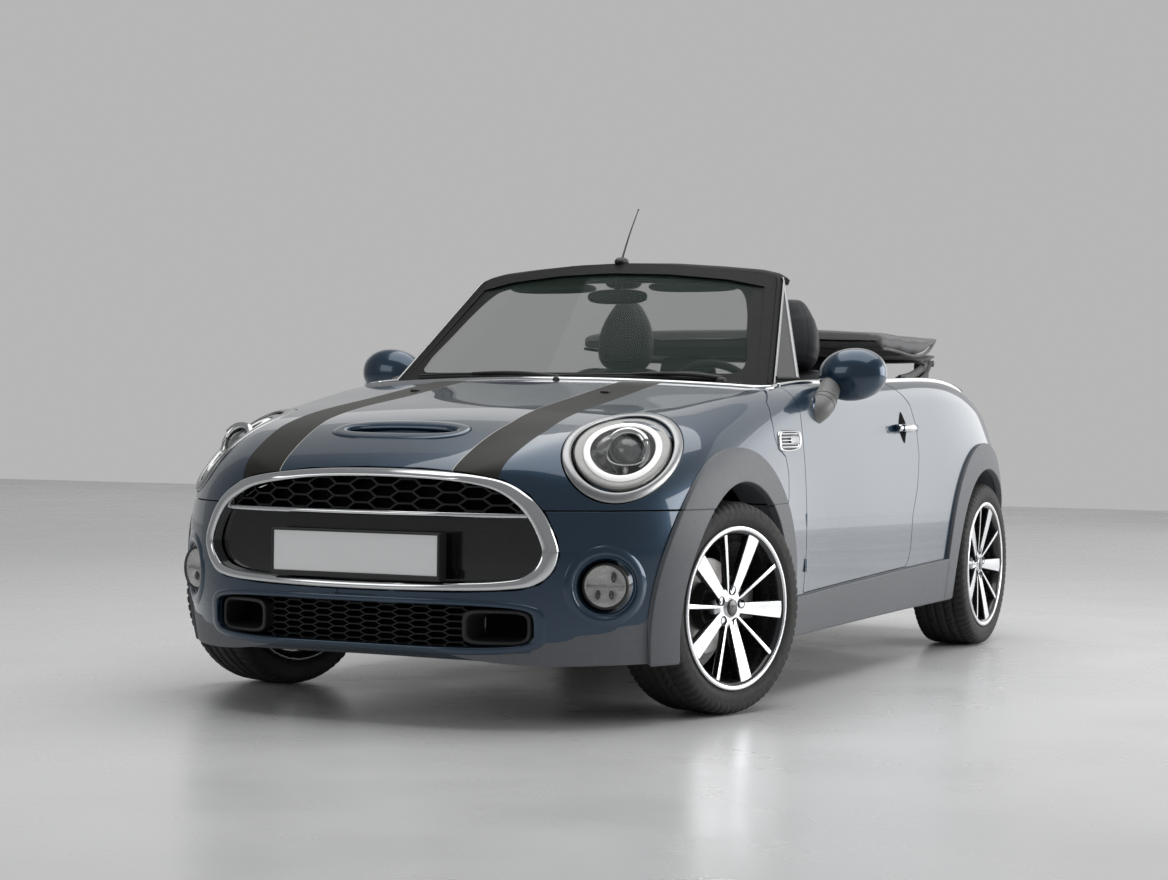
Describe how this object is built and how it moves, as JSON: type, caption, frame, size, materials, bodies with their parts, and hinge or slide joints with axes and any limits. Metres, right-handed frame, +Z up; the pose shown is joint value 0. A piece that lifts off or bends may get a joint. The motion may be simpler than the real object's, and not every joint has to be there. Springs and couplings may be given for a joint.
{
  "type": "convertible car",
  "caption": "Small two-door convertible with its soft top folded, round headlamps, an oval grille and steered front wheels.",
  "frame": {"origin": "on the ground under the middle of the bounding box", "axes": "+Z up, +Y towards the rear, +X towards the car's own left side"},
  "size_m": [1.9324, 3.864, 1.5716],
  "materials": {
    "paint": "metallic deep blue, gloss clearcoat",
    "black_trim": "gloss black",
    "glass": "clear",
    "cabin_plastic": "matte charcoal",
    "seat_leather": "dark grey leather",
    "hood_fabric": "charcoal weave",
    "bright_trim": "polished",
    "lamp_glass": "clear",
    "tail_red": "red lens",
    "grey_cladding": "matte grey",
    "cast_alloy": "as cast",
    "dark_steel": "dark coated",
    "exhaust_steel": "brushed",
    "plate_white": "plain",
    "tyre": "black rubber",
    "rim_alloy": "machined face, black pockets"
  },
  "bodies": {
    "car": {"body_shell": "paint", "front_bumper": "paint", "rear_bumper": "paint", "windscreen_frame": "black_trim", "windscreen_glass": "glass", "dashboard": "cabin_plastic", "front_seat_cushions": "seat_leather", "front_seat_backs": "seat_leather", "rear_seats": "seat_leather", "centre_console": "cabin_plastic", "soft_top": "hood_fabric", "grille_frame": "bright_trim", "grille_insert": "black_trim", "lower_grille": "black_trim", "headlamps": "lamp_glass", "fog_lamps": "lamp_glass", "tail_lamps": "tail_red", "lower_cladding": "grey_cladding", "wipers": "black_trim", "aerial": "black_trim", "engine_block": "cast_alloy", "front_subframe": "dark_steel", "front_struts": "dark_steel", "rear_axle": "dark_steel", "exhaust": "exhaust_steel", "number_plates": "plate_white"},
    "door_left": {"door_left": "paint", "mirror_left": "paint"},
    "door_right": {"door_right": "paint", "mirror_right": "paint"},
    "bonnet": {"bonnet": "paint", "headlamp_rings": "bright_trim", "bonnet_arch_trims": "grey_cladding"},
    "boot_lid": {"boot_lid": "paint"},
    "knuckle_left": {"knuckle_front_left": "cast_alloy"},
    "knuckle_right": {"knuckle_front_right": "cast_alloy"},
    "steering_wheel": {"steering_wheel": "seat_leather"},
    "wheel_front_left": {"tyre_front_left": "tyre", "rim_front_left": "rim_alloy"},
    "wheel_front_right": {"tyre_front_right": "tyre", "rim_front_right": "rim_alloy"},
    "wheel_rear_left": {"tyre_rear_left": "tyre", "rim_rear_left": "rim_alloy"},
    "wheel_rear_right": {"tyre_rear_right": "tyre", "rim_rear_right": "rim_alloy"}
  },
  "joints": [
    {"name": "steer_left", "type": "hinge", "parent": "car", "child": "knuckle_left", "pos_m": [0.7, -1.15, 0.308], "axis": [0, 0, 1], "range_deg": [-19, 50]},
    {"name": "steer_right", "type": "hinge", "parent": "car", "child": "knuckle_right", "pos_m": [-0.7, -1.15, 0.308], "axis": [0, 0, 1], "range_deg": [-19, 50]},
    {"name": "steering_wheel_turn", "type": "hinge", "parent": "car", "child": "steering_wheel", "pos_m": [0.36, -0.19, 0.872], "axis": [0, 0.9061, 0.423], "range_deg": [-247, 650]},
    {"name": "front_left_spin", "type": "hinge", "parent": "knuckle_left", "child": "wheel_front_left", "pos_m": [0.74091, -1.1615, 0.308], "axis": [0.9627, -0.2706, 0], "continuous": true},
    {"name": "front_right_spin", "type": "hinge", "parent": "knuckle_right", "child": "wheel_front_right", "pos_m": [-0.74091, -1.1385, 0.308], "axis": [0.9627, -0.2706, 0], "continuous": true},
    {"name": "rear_left_spin", "type": "hinge", "parent": "car", "child": "wheel_rear_left", "pos_m": [0.7425, 1.345, 0.308], "axis": [1, 0, 0], "continuous": true},
    {"name": "rear_right_spin", "type": "hinge", "parent": "car", "child": "wheel_rear_right", "pos_m": [-0.7425, 1.345, 0.308], "axis": [1, 0, 0], "continuous": true},
    {"name": "door_left_hinge", "type": "hinge", "parent": "car", "child": "door_left", "pos_m": [0.8245, -0.5825, 0.62], "axis": [0, 0, -1], "range_deg": [0, 65]},
    {"name": "door_right_hinge", "type": "hinge", "parent": "car", "child": "door_right", "pos_m": [-0.8245, -0.5825, 0.62], "axis": [0, 0, 1], "range_deg": [0, 65]},
    {"name": "bonnet_hinge", "type": "hinge", "parent": "car", "child": "bonnet", "pos_m": [0, -0.689, 0.979], "axis": [-1, 0, 0], "range_deg": [0, 48]},
    {"name": "boot_lid_hinge", "type": "hinge", "parent": "car", "child": "boot_lid", "pos_m": [0, 1.917, 0.4867], "axis": [-1, 0, 0], "range_deg": [0, 85]}
  ],
  "couplings": [
    {"joint": "steer_right", "follows": "steer_left", "ratio": 1},
    {"joint": "steering_wheel_turn", "follows": "steer_left", "ratio": 13}
  ]
}
